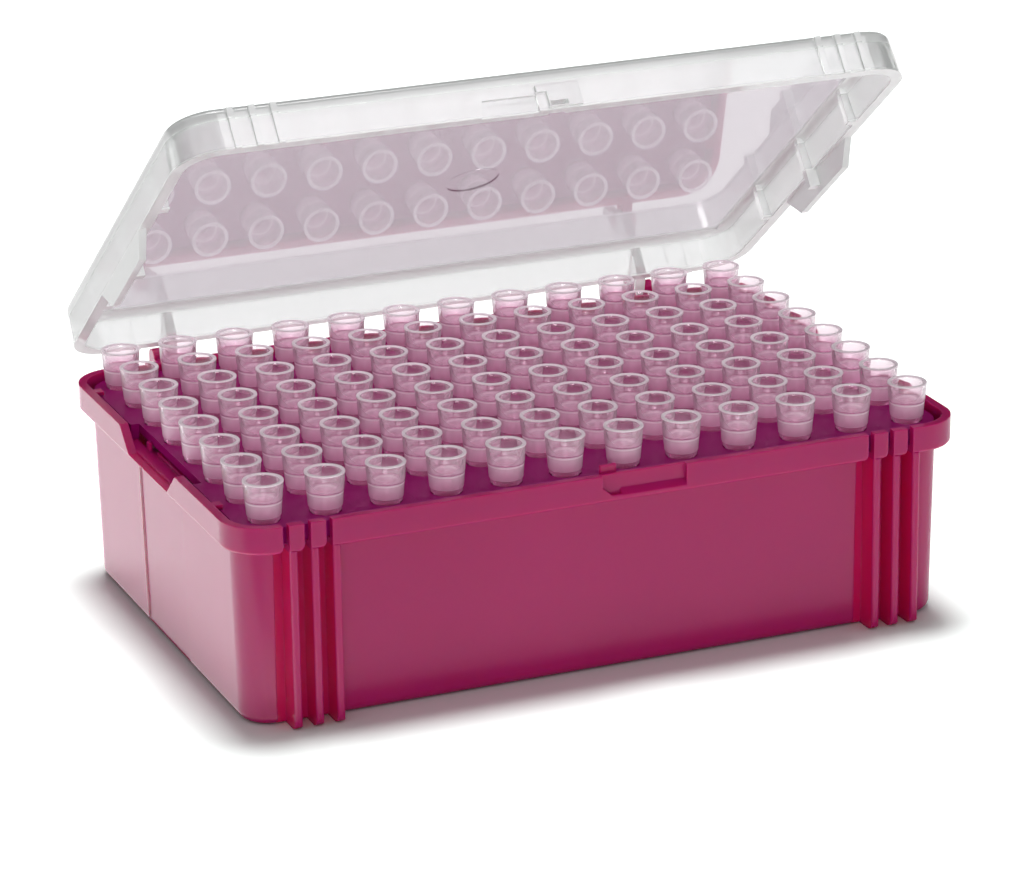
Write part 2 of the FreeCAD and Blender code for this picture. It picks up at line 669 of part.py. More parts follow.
def add_tabs_and_ribs(body):
    """On each short side, a tab that fills the box's notch and three ribs inside the wall."""
    inner = "lid_length / 2 - lid_wall"
    slope = "( notch_top_half - notch_foot_half ) / ( collar_height - notch_sill )"
    wide = f"notch_top_half - tab_gap + fit_gap * {slope}"
    narrow = f"notch_top_half - tab_gap - ( tab_drop - fit_gap ) * {slope}"
    tab = outline(body, "side_tab", "YZ_Plane", [
        (f"lid_middle - ( {wide} )", "lid_rim + bite"),
        (f"lid_middle - ( {wide} )", "lid_rim"),
        (f"lid_middle - ( {narrow} )", "lid_rim - tab_drop"),
        (f"lid_middle + {narrow}", "lid_rim - tab_drop"),
        (f"lid_middle + {wide}", "lid_rim"),
        (f"lid_middle + {wide}", "lid_rim + bite"),
    ], "lid_length / 2 - tab_thickness")
    tab_pad = pad(body, tab, "tab_thickness")
    ribs = []
    for name, place, foot in (
        ("front_rib", "-rib_spacing", "lid_rim"),
        ("middle_rib", "0", "lid_rim - middle_rib_drop"),
        ("rear_rib", "rib_spacing", "lid_rim"),
    ):
        rib = rectangle(
            body, name, "YZ_Plane",
            (
                f"lid_middle + {place} - rib_width / 2",
                f"lid_middle + {place} + rib_width / 2",
            ),
            (foot, "lid_top - lid_roof / 2"), f"{inner} - rib_depth",
        )
        ribs.append(pad(body, rib, "rib_depth + lid_draft + bite"))
    mirror(body, "other_tab_and_ribs", [tab_pad, *ribs])


def add_lid_ridges(body):
    """Thin ridges on the lid's front and back that carry on the lines of the box's fins."""
    front = rectangle(
        body, "front_ridge", "XZ_Plane",
        (
            "first_fin + ( fin_width - ridge_width ) / 2",
            "first_fin + ( fin_width + ridge_width ) / 2",
        ),
        ("lid_rim", "lid_top - ridge_drop"), "-lid_front + ridge_proud",
    )
    front_pad = pad(body, front, "ridge_proud + lid_wall / 2 + lid_draft", backwards=True)
    sets_of_fins(body, "front_ridges", [front_pad])
    ridges = []
    for name, place in (("rear_ridge", "fin_pitch"), ("outer_rear_ridge", "2 * fin_pitch")):
        rear = rectangle(
            body, name, "XZ_Plane",
            (
                f"fin_first + {place} + ( fin_width - ridge_width ) / 2",
                f"fin_first + {place} + ( fin_width + ridge_width ) / 2",
            ),
            ("lid_rim", "lid_top - ridge_drop"), "hinge_setback - ridge_proud",
        )
        ridges.append(pad(body, rear, "ridge_proud + lid_wall / 2 + lid_draft"))
    mirror(body, "other_rear_ridges", ridges)


def add_lid_latch(body):
    """The thick block that the hook snaps into, its window, and the finger grip beside it."""
    low = "lid_rim + latch_block_foot"
    high = f"{low} + latch_block_height"
    block = outline(body, "latch_block", "XZ_Plane", [
        ("-latch_half", low),
        ("-latch_half + latch_block_length", low),
        ("-latch_half + latch_block_length", high),
        ("-2 * latch_half", high),
        ("-2 * latch_half", f"{high} - latch_block_step"),
        ("-latch_half", f"{high} - latch_block_step"),
    ], "-lid_front + latch_block_proud")
    pad(body, block, "latch_block_proud + lid_wall / 2", backwards=True)
    window = rectangle(
        body, "latch_window", "XZ_Plane", ("-window_half", "window_half"),
        ("lid_rim + window_low", "lid_rim + window_high"), "-lid_front + overrun",
    )
    pocket(body, window, "lid_wall + 2 * overrun")
    relief = rectangle(
        body, "hook_relief", "XZ_Plane", ("-window_half", "window_half"),
        ("lid_rim - overrun", "lid_rim + window_high"), "-lid_front - latch_wall",
    )
    pocket(body, relief, "lid_wall - latch_wall + overrun")
    grip = outline(body, "finger_grip", "XZ_Plane", [
        ("-2 * latch_half - grip_length", "lid_rim"),
        ("-2 * latch_half", "lid_rim"),
        ("-2 * latch_half", "lid_rim + grip_height"),
        ("-2 * latch_half - grip_length + grip_slant", "lid_rim + grip_height"),
    ], "-lid_front")
    pocket(body, grip, "grip_depth")


def add_hinge_arms(body):
    """Two arms with eyes for the box's pins, each with a heel that stops the open lid."""
    root, lean, rest = "-hinge_setback - lid_wall / 2", "arm_lean * 1 deg", "45 deg - arm_lean * 1 deg"
    arm = outline(
        body, "hinge_arm", "YZ_Plane", [
            (root, "lid_rim"),
            ("-hinge_setback + fit_gap", "lid_rim"),
            (f"-eye_radius * cos({lean})", f"-eye_radius * sin({lean})"),
            (f"eye_radius * sin({lean})", f"-eye_radius * cos({lean})"),
            (f"eye_radius * cos({lean})", f"eye_radius * sin({lean})"),
            (root, "lid_rim + arm_rise"),
        ], "arm_inner",
        arcs={
            2: (f"-eye_radius * sin({rest})", f"-eye_radius * cos({rest})", "eye_radius"),
            3: (f"eye_radius * cos({rest})", f"-eye_radius * sin({rest})", "eye_radius"),
        },
    )
    arm_pad = pad(body, arm, "arm_thickness")
    turn, reach = "lid_travel * 1 deg", "( hinge_setback - heel_gap )"
    low, high = "heel_low", "( heel_low + heel_height )"
    heel = outline(body, "arm_heel", "YZ_Plane", [
        ("-0.3 * eye_radius", "-0.8 * eye_radius"),
        (
            f"-{reach} * cos({turn}) + {low} * sin({turn})",
            f"-{reach} * sin({turn}) - {low} * cos({turn})",
        ),
        (
            f"-{reach} * cos({turn}) + {high} * sin({turn})",
            f"-{reach} * sin({turn}) - {high} * cos({turn})",
        ),
        ("0.95 * eye_radius", "-0.1 * eye_radius"),
    ], "arm_inner")
    heel_pad = pad(body, heel, "arm_thickness")
    bore = disc(
        body, "hinge_bore", "YZ_Plane", "0", "0", "pin_radius + pin_clearance", "arm_inner - overrun"
    )
    bore_pocket = pocket(body, bore, "arm_thickness + 2 * overrun", backwards=True)
    mirror(body, "other_arm", [arm_pad, heel_pad, bore_pocket])


sub_parts = [make_base(), make_deck(), make_lid()]
for column in range(1, int(size("column_count")) + 1):
    sub_parts.append(make_tip_column(column))
doc.recompute()

for item in doc.Objects:
    if "Invalid" in item.State or "Error" in item.State:
        raise RuntimeError(f"{item.Name} did not build: {item.State}")

os.makedirs("parts", exist_ok=True)
for sub_part in sub_parts:
    shape = sub_part.Shape
    if shape.isNull() or not shape.isValid():
        raise RuntimeError(f"{sub_part.Label} has no valid shape")
    shape.exportStep(f"parts/{sub_part.Label}.step")
    print(sub_part.Label, len(shape.Solids), "solids", round(shape.Volume), "cubic millimetres")
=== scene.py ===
import json
import math

import bmesh
import bpy
from mathutils import Matrix, Vector

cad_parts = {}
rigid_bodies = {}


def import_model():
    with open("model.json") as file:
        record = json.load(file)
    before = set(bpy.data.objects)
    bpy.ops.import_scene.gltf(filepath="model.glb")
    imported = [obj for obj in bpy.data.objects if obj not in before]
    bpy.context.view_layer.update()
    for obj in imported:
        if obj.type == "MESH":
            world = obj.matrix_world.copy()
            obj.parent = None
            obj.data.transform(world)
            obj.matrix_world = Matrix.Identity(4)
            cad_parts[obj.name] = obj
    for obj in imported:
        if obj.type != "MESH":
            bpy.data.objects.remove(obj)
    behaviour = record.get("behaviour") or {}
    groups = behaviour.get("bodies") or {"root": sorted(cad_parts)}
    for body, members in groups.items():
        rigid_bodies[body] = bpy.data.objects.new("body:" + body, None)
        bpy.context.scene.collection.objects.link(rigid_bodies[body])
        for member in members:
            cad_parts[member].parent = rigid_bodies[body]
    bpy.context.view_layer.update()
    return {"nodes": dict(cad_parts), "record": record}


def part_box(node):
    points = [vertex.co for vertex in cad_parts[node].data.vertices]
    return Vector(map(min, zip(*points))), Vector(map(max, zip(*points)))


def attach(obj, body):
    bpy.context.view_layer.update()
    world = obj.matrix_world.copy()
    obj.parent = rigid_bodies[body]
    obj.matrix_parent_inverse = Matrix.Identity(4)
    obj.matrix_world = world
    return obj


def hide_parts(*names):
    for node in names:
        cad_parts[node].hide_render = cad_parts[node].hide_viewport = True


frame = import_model()
print("frame loaded:", ", ".join(sorted(frame["nodes"])))

mm = 0.001
gridPitch = 9 * mm  # the tips stand on the grid that pipettes share
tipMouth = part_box("tips_column_01")[1].z  # height of the tips' upper ends

# the camera looks down on the front left corner; angles in degrees, lens and sensor in mm

camera = {
    "target": (-1.046 * mm, -3.710 * mm, 24.394 * mm),
    "distance": 649.5 * mm,
    "azimuth": 22.466,
    "elevation": 19.423,
    "roll": -0.853,
    "lens": 155.357,
    "sensor": 36,
    "clip": (0.01, 20),
}


def addCamera():
    azimuth, elevation = math.radians(camera["azimuth"]), math.radians(camera["elevation"])
    back = Vector((
        -math.sin(azimuth) * math.cos(elevation),
        -math.cos(azimuth) * math.cos(elevation),
        math.sin(elevation),
    ))
    data = bpy.data.cameras.new("camera")
    data.lens = camera["lens"]
    data.sensor_width = camera["sensor"]
    data.clip_start, data.clip_end = camera["clip"]
    piece = bpy.data.objects.new("camera", data)
    level = (-back).to_track_quat("-Z", "Y").to_matrix().to_4x4()
    place = Vector(camera["target"]) + back * camera["distance"]
    piece.matrix_world = Matrix.Translation(place) @ level @ Matrix.Rotation(
        math.radians(camera["roll"]), 4, "Z"
    )
    bpy.context.scene.collection.objects.link(piece)
    bpy.context.scene.camera = piece


def linear(hexText):
    # sRGB hex to a linear colour
    parts = [int(hexText[i:i + 2], 16) / 255 for i in (1, 3, 5)]
    return [c / 12.92 if c <= 0.04045 else ((c + 0.055) / 1.055) ** 2.4 for c in parts] + [1]


def addNode(tree, kind, inputs=None, **settings):
    # an input takes a value, a socket to link from, or a node, whose first output is linked
    node = tree.nodes.new(kind)
    for name, value in settings.items():
        setattr(node, name, value)
    for name, value in (inputs or {}).items():
        if isinstance(value, bpy.types.Node):
            value = value.outputs[0]
        if isinstance(value, bpy.types.NodeSocket):
            tree.links.new(value, node.inputs[name])
        else:
            node.inputs[name].default_value = value
    return node


def newMaterial(name):
    material = bpy.data.materials.new(name)
    material.use_nodes = True
    material.node_tree.nodes.clear()
    return material, material.node_tree


studio = {
    "sky": 0.33,
    "ceiling": 0.05,  # what polished faces see overhead
    "sweepTop": (0, 0.04),  # sines of the heights between which the white sweep darkens
    "floor": 6,  # half its length, in metres
    "paper": 0.65,
    "paperMirrored": 0.72,
    "paperSeen": "#F7FFFC",  # a cast that takes the tub's blush out of the shadow
    "paperGlow": (0.3, 0.8),  # radii in metres between which the paper turns pure white
}


def seenDirectly(tree):
    # 1 for what the camera, a mirror or a clear plastic shows, 0 for light on the object
    path = addNode(tree, "ShaderNodeLightPath")
    seen = addNode(tree, "ShaderNodeMath", operation="MAXIMUM", inputs={
        0: path.outputs["Is Camera Ray"], 1: path.outputs["Is Glossy Ray"]})
    seen = addNode(tree, "ShaderNodeMath", operation="MAXIMUM", inputs={
        0: seen, 1: path.outputs["Is Transmission Ray"]})
    fresh = addNode(tree, "ShaderNodeMath", operation="LESS_THAN", inputs={
        0: path.outputs["Diffuse Depth"], 1: 0.5})
    return addNode(tree, "ShaderNodeMath", operation="MULTIPLY", inputs={0: seen, 1: fresh}), path


def addWorld():
    world = bpy.data.worlds.new("studio")
    bpy.context.scene.world = world
    world.use_nodes = True
    tree = world.node_tree
    tree.nodes.clear()
    seen, path = seenDirectly(tree)
    # in reflections the sweep is white round the horizon and the ceiling is dark
    way = addNode(tree, "ShaderNodeTexCoord")
    height = addNode(tree, "ShaderNodeSeparateXYZ", {0: way.outputs["Generated"]})
    bottom, top = studio["sweepTop"]
    sweep = addNode(tree, "ShaderNodeMapRange", {
        "Value": height.outputs["Z"], "From Min": bottom, "From Max": top,
        "To Min": 1, "To Max": studio["ceiling"]})
    # straight through the clear plastic it is white everywhere
    mirrored = addNode(tree, "ShaderNodeMath", operation="LESS_THAN", inputs={
        0: 0.5, 1: path.outputs["Glossy Depth"]})
    straight = addNode(tree, "ShaderNodeMath", {0: 1, 1: mirrored}, operation="SUBTRACT")
    shown = addNode(tree, "ShaderNodeMath", {0: straight, 1: sweep}, operation="MAXIMUM")
    strength = addNode(tree, "ShaderNodeMix", data_type="FLOAT", inputs={
        0: seen, 2: studio["sky"], 3: shown})
    sky = addNode(tree, "ShaderNodeBackground", {"Color": (1, 1, 1, 1), "Strength": strength})
    addNode(tree, "ShaderNodeOutputWorld", {"Surface": sky})


def addFloor():
    # white paper that keeps the shadow near the object and is pure white farther out
    bm = bmesh.new()
    bmesh.ops.create_grid(bm, x_segments=1, y_segments=1, size=studio["floor"])
    mesh = bpy.data.meshes.new("floor")
    bm.to_mesh(mesh)
    bm.free()
    floor = bpy.data.objects.new("floor", mesh)
    bpy.context.scene.collection.objects.link(floor)
    material, tree = newMaterial("whitePaperFloor")
    seen, path = seenDirectly(tree)
    tone = addNode(tree, "ShaderNodeMix", data_type="RGBA", inputs={
        0: seen, 6: (studio["paper"],) * 3 + (1,), 7: (studio["paperMirrored"],) * 3 + (1,)})
    cast = addNode(tree, "ShaderNodeMix", data_type="RGBA", inputs={
        0: path.outputs["Is Camera Ray"], 6: tone.outputs[2], 7: linear(studio["paperSeen"])})
    paper = addNode(tree, "ShaderNodeBsdfDiffuse", {"Color": cast.outputs[2]})
    place = addNode(tree, "ShaderNodeTexCoord")
    away = addNode(tree, "ShaderNodeVectorMath", operation="LENGTH", inputs={
        0: place.outputs["Object"]})
    near, far = studio["paperGlow"]
    glowing = addNode(tree, "ShaderNodeMapRange", {
        "Value": away.outputs["Value"], "From Min": near, "From Max": far})
    fill = addNode(tree, "ShaderNodeMath", {0: seen, 1: glowing}, operation="MULTIPLY")
    glow = addNode(tree, "ShaderNodeEmission", {"Strength": fill})
    both = addNode(tree, "ShaderNodeAddShader", {0: paper, 1: glow})
    addNode(tree, "ShaderNodeOutputMaterial", {"Surface": both})
    mesh.materials.append(material)


bpy.context.scene.view_settings.view_transform = "Standard"
addCamera()
addWorld()
addFloor()
print("camera and studio made")

polypropyleneIndex = 1.49

magenta = {
    "colour": "#B5176A",
    "deep": "#A91361",
    "cloud": 22 * mm,  # breadth of the patches in which one colour gives way to the other
    "roughness": 0.2,
    "shine": 0.34,
    "subsurface": 1,
    "depth": 2.0 * mm,  # how far light wanders under the surface
    "bleed": (1, 0.25, 0.4),  # red travels furthest
    "grain": 0.18 * mm,  # the mould's fine texture
    "grainHeight": 0.02 * mm,
    "grainStrength": 0.08,
    "edge": 0.3 * mm,  # corners catch the light as if rounded this much
    # painted glow: a brighter red painted between the grip fins, for the light that comes through
    # the thin plastic there
    "glow": "#CF1560",
    "paintedGlowPlace": (0.525 * mm, 44.6 * mm, 4.48 * mm),  # both sets' offset, distance, half width
    "paintedGlowDepth": 37.3 * mm,
    "paintedGlowTop": 26.4 * mm,
    # painted highlight: a pale line painted up the rear edge of each end channel, where it catches
    # the light
    "paintedChannelHighlight": "#C9939F",
    "paintedChannelHighlightPlace": (9.5 * mm, 0.3 * mm, 24.6 * mm),  # distance from the middle, half width, top
}


def magentaPolypropylene():
    # injection moulded, satin: a soft highlight, and light that wanders in the plastic
    material, tree = newMaterial("mouldedMagentaPolypropylene")
    place = addNode(tree, "ShaderNodeTexCoord").outputs["Object"]
    axes = addNode(tree, "ShaderNodeSeparateXYZ", {0: place})
    cloud = addNode(tree, "ShaderNodeTexNoise", {
        "Vector": place, "Scale": 1 / magenta["cloud"], "Detail": 2})
    tint = addNode(tree, "ShaderNodeMix", data_type="RGBA", inputs={
        0: cloud, 6: linear(magenta["colour"]), 7: linear(magenta["deep"])})
    # painted glow between the fins, behind their noses and below the collar
    shift, distance, half = magenta["paintedGlowPlace"]
    across = addNode(tree, "ShaderNodeMath", operation="ADD", inputs={
        0: axes.outputs["X"], 1: shift})
    across = addNode(tree, "ShaderNodeMath", {0: across}, operation="ABSOLUTE")
    paintedGlowBand = addNode(tree, "ShaderNodeMath", operation="COMPARE", inputs={
        0: across, 1: distance, 2: half})
    for axis, operation, limit in (
        ("Y", "GREATER_THAN", -magenta["paintedGlowDepth"]),
        ("Y", "LESS_THAN", 0),
        ("Z", "LESS_THAN", magenta["paintedGlowTop"]),
    ):
        within = addNode(tree, "ShaderNodeMath", operation=operation, inputs={
            0: axes.outputs[axis], 1: limit})
        paintedGlowBand = addNode(tree, "ShaderNodeMath", {0: paintedGlowBand, 1: within}, operation="MULTIPLY")
    tint = addNode(tree, "ShaderNodeMix", data_type="RGBA", inputs={
        0: paintedGlowBand, 6: tint.outputs[2], 7: linear(magenta["glow"])})
    # painted highlight up the channels' rear edges
    distance, half, top = magenta["paintedChannelHighlightPlace"]
    edge = addNode(tree, "ShaderNodeMath", operation="COMPARE", inputs={
        0: axes.outputs["Y"], 1: distance, 2: half})
    above = addNode(tree, "ShaderNodeMath", operation="GREATER_THAN", inputs={
        0: axes.outputs["Z"], 1: top})
    edge = addNode(tree, "ShaderNodeMath", {0: edge, 1: above}, operation="SUBTRACT",
                   use_clamp=True)
    tint = addNode(tree, "ShaderNodeMix", data_type="RGBA", inputs={
        0: edge, 6: tint.outputs[2], 7: linear(magenta["paintedChannelHighlight"])})
    rounded = addNode(tree, "ShaderNodeBevel", {"Radius": magenta["edge"]}, samples=4)
    grain = addNode(tree, "ShaderNodeTexNoise", {
        "Vector": place, "Scale": 1 / magenta["grain"], "Detail": 2})
    relief = addNode(tree, "ShaderNodeBump", {
        "Height": grain, "Normal": rounded,
        "Strength": magenta["grainStrength"], "Distance": magenta["grainHeight"]})
    surface = addNode(tree, "ShaderNodeBsdfPrincipled", {
        "Base Color": tint.outputs[2], "Normal": relief,
        "Roughness": magenta["roughness"], "IOR": polypropyleneIndex,
        "Specular IOR Level": magenta["shine"], "Subsurface Weight": magenta["subsurface"],
        "Subsurface Radius": magenta["bleed"], "Subsurface Scale": magenta["depth"]})
    addNode(tree, "ShaderNodeOutputMaterial", {"Surface": surface})
    return material


deck = {
    "colour": "#990E6A",
    "deep": "#8C0A5F",
    "cloud": 14 * mm,  # breadth of the patches of colour and of polish
    "roughness": (0.05, 0.12),
    "shine": 0.06,
    # a low moulded ring round each hole
    "ring": 4.0 * mm,
    "ringWidth": 0.4 * mm,
    "ringHeight": 0.2 * mm,
}


def deckPolypropylene():
    # moulded in a polished cavity: it mirrors the feet of the tips, with a low ring round each
    material, tree = newMaterial("polishedMagentaPolypropylene")
    place = addNode(tree, "ShaderNodeTexCoord").outputs["Object"]
    axes = addNode(tree, "ShaderNodeSeparateXYZ", {0: place})
    # how far each point lies from the middle of its own square of the grid
    offsets = {}
    for axis in ("X", "Y"):
        cell = addNode(tree, "ShaderNodeMath", operation="WRAP", inputs={
            0: axes.outputs[axis], 1: gridPitch, 2: 0})
        offsets[axis] = addNode(tree, "ShaderNodeMath", operation="SUBTRACT", inputs={
            0: cell, 1: gridPitch / 2})
    away = addNode(tree, "ShaderNodeCombineXYZ", offsets)
    away = addNode(tree, "ShaderNodeVectorMath", {0: away}, operation="LENGTH")
    ring = addNode(tree, "ShaderNodeMath", operation="COMPARE", inputs={
        0: away.outputs["Value"], 1: deck["ring"], 2: deck["ringWidth"] / 2})
    relief = addNode(tree, "ShaderNodeBump", {
        "Height": ring, "Strength": 1, "Distance": deck["ringHeight"]})
    cloud = addNode(tree, "ShaderNodeTexNoise", {
        "Vector": place, "Scale": 1 / deck["cloud"], "Detail": 2})
    tint = addNode(tree, "ShaderNodeMix", data_type="RGBA", inputs={
        0: cloud, 6: linear(deck["colour"]), 7: linear(deck["deep"])})
    smooth, rough = deck["roughness"]
    polish = addNode(tree, "ShaderNodeMapRange", {
        "Value": cloud, "To Min": smooth, "To Max": rough})
    surface = addNode(tree, "ShaderNodeBsdfPrincipled", {
        "Base Color": tint.outputs[2], "Roughness": polish, "Normal": relief,
        "IOR": polypropyleneIndex, "Specular IOR Level": deck["shine"]})
    addNode(tree, "ShaderNodeOutputMaterial", {"Surface": surface})
    return material


def letLampsThrough(tree, surface, share):
    # a thin clear wall dims a lamp a little and throws no solid shadow
    path = addNode(tree, "ShaderNodeLightPath")
    passed = addNode(tree, "ShaderNodeBsdfTransparent", {"Color": (share, share, share, 1)})
    both = addNode(tree, "ShaderNodeMixShader", {
        0: path.outputs["Is Shadow Ray"], 1: surface, 2: passed})
    addNode(tree, "ShaderNodeOutputMaterial", {"Surface": both})


clear = {
    "wall": "#F8FAF9",
    "roof": "#D4CCD4",
    # half length, half width, and height above the hinge line when shut
    "roofPlace": (52.6 * mm, 34.4 * mm, 5.5 * mm),
    "fade": 0.5 * mm,
    "roughness": (0.02, 0.06),
    "index": 1.74,  # above the plastic's own, for brighter reflections
    # shares of milkiness: everywhere, more in the walls, more edge on, most in rim and roof edge
    "haze": 0.07,
    "wallHaze": 0.2,
    "glance": 0.4,
    "glanceHaze": 0.3,
    "rimHaze": 0.35,
    "rims": (0.7 * mm, 5.0 * mm),  # the thick rim lies below, the rounded roof edge above
    "flow": (30 * mm, 6 * mm, 30 * mm),  # cloudy streaks of the melt across the lid
    "lampShare": 0.93,  # of a lamp's light that passes each wall
}


def clearPolypropylene():
    # clarified and polished: nearly clear walls, a roof that greys what is behind it
    material, tree = newMaterial("clarifiedPolypropylene")
    hinge = frame["record"]["behaviour"]["joints"][0]
    place = addNode(tree, "ShaderNodeTexCoord").outputs["Object"]
    # where each point lies when the lid is shut, measured from the hinge line
    shut = addNode(tree, "ShaderNodeMapping", vector_type="TEXTURE", inputs={
        "Vector": place, "Location": hinge["pos_m"],
        "Rotation": (math.radians(hinge["range_deg"][0]), 0, 0)})
    axes = addNode(tree, "ShaderNodeSeparateXYZ", {0: shut})
    length, width, level = clear["roofPlace"]
    across = addNode(tree, "ShaderNodeMath", {0: axes.outputs["X"]}, operation="ABSOLUTE")
    # the roof is centred on the box, and the hinge line lies behind it
    along = addNode(tree, "ShaderNodeMath", operation="ADD", inputs={
        0: axes.outputs["Y"], 1: hinge["pos_m"][1]})
    along = addNode(tree, "ShaderNodeMath", {0: along}, operation="ABSOLUTE")
    inside = addNode(tree, "ShaderNodeMath", operation="SUBTRACT", inputs={
        0: axes.outputs["Z"], 1: level})
    for limit, reached in ((length, across), (width, along)):
        left = addNode(tree, "ShaderNodeMath", {0: limit, 1: reached}, operation="SUBTRACT")
        inside = addNode(tree, "ShaderNodeMath", {0: inside, 1: left}, operation="MINIMUM")
    roof = addNode(tree, "ShaderNodeMapRange", interpolation_type="SMOOTHSTEP", inputs={
        "Value": inside, "From Max": clear["fade"]})
    tint = addNode(tree, "ShaderNodeMix", data_type="RGBA", inputs={
        0: roof, 6: linear(clear["wall"]), 7: linear(clear["roof"])})
    streaks = addNode(tree, "ShaderNodeMapping", vector_type="TEXTURE", inputs={
        "Vector": shut, "Scale": clear["flow"]})
    streaks = addNode(tree, "ShaderNodeTexNoise", {"Vector": streaks, "Scale": 1, "Detail": 3})
    smooth, rough = clear["roughness"]
    polish = addNode(tree, "ShaderNodeMapRange", {
        "Value": streaks, "To Min": smooth, "To Max": rough})
    # a wall is whiter than the roof, and whiter still seen edge on
    wall = addNode(tree, "ShaderNodeMath", {0: 1, 1: roof}, operation="SUBTRACT")
    glance = addNode(tree, "ShaderNodeLayerWeight", {"Blend": clear["glance"]})
    edge = addNode(tree, "ShaderNodeMath", operation="MULTIPLY", inputs={
        0: glance.outputs["Facing"], 1: wall})
    milk = addNode(tree, "ShaderNodeMath", operation="MULTIPLY_ADD", inputs={
        0: edge, 1: clear["glanceHaze"], 2: clear["haze"]})
    milk = addNode(tree, "ShaderNodeMath", operation="MULTIPLY_ADD", inputs={
        0: wall, 1: clear["wallHaze"], 2: milk})
    for operation, limit in zip(("LESS_THAN", "GREATER_THAN"), clear["rims"]):
        thick = addNode(tree, "ShaderNodeMath", operation=operation, inputs={
            0: axes.outputs["Z"], 1: limit})
        thick = addNode(tree, "ShaderNodeMath", {0: thick, 1: wall}, operation="MULTIPLY")
        milk = addNode(tree, "ShaderNodeMath", operation="MULTIPLY_ADD", inputs={
            0: thick, 1: clear["rimHaze"], 2: milk})
    passed = addNode(tree, "ShaderNodeMath", {0: 1, 1: milk}, operation="SUBTRACT",
                     use_clamp=True)
    surface = addNode(tree, "ShaderNodeBsdfPrincipled", {
        "Base Color": tint.outputs[2], "Roughness": polish, "IOR": clear["index"],
        "Transmission Weight": passed})
    letLampsThrough(tree, surface, clear["lampShare"])
    return material


natural = {
    "colour": "#FFF7FB",
    # painted blush: the pink light from the magenta tub and deck, painted into the frosted wall's
    # colour
    "paintedBlush": "#FBC4E4",  # the tub's colour carried up the frosted wall
    # depth below the mouth in mm, haze, roughness, painted blush: a white rim, a clear lip, a
    # frosted body
    "zones": [
        (0.0, 0.95, 0.1, 0.2), (0.14, 0.95, 0.1, 0.2), (0.22, 0.02, 0.05, 0.05),
        (1.2, 0.05, 0.08, 0.15), (2.4, 0.2, 0.2, 0.45), (2.62, 0.2, 0.2, 0.5),
        (2.7, 0, 0.1, 1.0), (2.83, 0, 0.1, 1.0), (2.92, 0.7, 0.2, 0.2),
        (3.06, 0.7, 0.2, 0.2), (3.16, 0.38, 0.25, 0.45), (4.98, 0.28, 0.25, 0.8),
        (5.1, 0.1, 0.15, 1.0), (5.8, 0.02, 0.1, 1.0),
    ],
    "glance": 0.35,
    "glanceHaze": 0.6,
    "lampShare": 0.92,
}


def naturalPolypropylene():
    # undyed, thin-walled: frosted, takes the colour of what is behind and below it, with the tub's
    # pink light painted into the wall
    material, tree = newMaterial("naturalPolypropylene")
    deepest = natural["zones"][-1][0]
    place = addNode(tree, "ShaderNodeTexCoord")
    axes = addNode(tree, "ShaderNodeSeparateXYZ", {0: place.outputs["Object"]})
    depth = addNode(tree, "ShaderNodeMapRange", {
        "Value": axes.outputs["Z"],
        "From Min": tipMouth, "From Max": tipMouth - deepest * mm})
    zones = addNode(tree, "ShaderNodeValToRGB", {0: depth})
    stops = zones.color_ramp.elements
    for number, (below, haze, roughness, paintedBlush) in enumerate(natural["zones"]):
        # a new ramp has two stops already
        stop = stops[number] if number < 2 else stops.new(below / deepest)
        stop.position = below / deepest
        stop.color = (haze, roughness, paintedBlush, 1)
    haze, roughness, paintedBlush = addNode(tree, "ShaderNodeSeparateColor", {0: zones}).outputs
    # a glancing look passes through more of the milky wall
    glance = addNode(tree, "ShaderNodeLayerWeight", {"Blend": natural["glance"]})
    milk = addNode(tree, "ShaderNodeMath", operation="MULTIPLY_ADD", inputs={
        0: glance.outputs["Facing"], 1: natural["glanceHaze"], 2: haze})
    passed = addNode(tree, "ShaderNodeMath", {0: 1, 1: milk}, operation="SUBTRACT",
                     use_clamp=True)
    tint = addNode(tree, "ShaderNodeMix", data_type="RGBA", inputs={
        0: paintedBlush, 6: linear(natural["colour"]), 7: linear(natural["paintedBlush"])})
    surface = addNode(tree, "ShaderNodeBsdfPrincipled", {
        "Base Color": tint.outputs[2], "Roughness": roughness, "IOR": polypropyleneIndex,
        "Transmission Weight": passed})
    letLampsThrough(tree, surface, natural["lampShare"])
    return material


finishes = {
    "magenta_shell": magentaPolypropylene(),
    "magenta_deck": deckPolypropylene(),
    "frosted_clear": clearPolypropylene(),
    "natural_tip": naturalPolypropylene(),
}
mouldings = {"base": "magenta_shell", "tip_deck": "magenta_deck", "lid": "frosted_clear"}
for nodeName, finish in mouldings.items():
    for slot in frame["nodes"][nodeName].material_slots:
        slot.material = finishes[finish]
print("finishes made and put on the tub, deck and lid")

tip = {
    "segments": 40,
    "columns": 12,
    "rows": 8,
    # radius and depth below the mouth, in mm, up the outside, over the mouth and down the bore
    "outside": [
        (0.45, 31.5), (0.62, 25), (1.1, 16), (1.6, 8.5), (2.0, 6.2), (2.05, 5.8),
        (2.3, 5.6), (2.34, 5.02), (2.4, 5.0), (2.44, 4.9), (2.57, 3.1), (2.61, 2.95),
        (2.57, 2.82), (2.66, 2.65), (2.78, 1.2), (2.84, 0.4), (2.89, 0.25), (2.89, 0.08),
        (2.84, 0),
    ],
    "inside": [
        (2.42, 0), (2.36, 0.06), (2.34, 0.2), (2.24, 2.6), (2.16, 2.8), (1.9, 3.0), (1.84, 3.2),
        (1.75, 5.8), (1.6, 7), (1.2, 12), (0.6, 22), (0.22, 31.5),
    ],
    "weld": 0.001 * mm,  # points nearer than this become one
    "sharpAngle": 50,
}


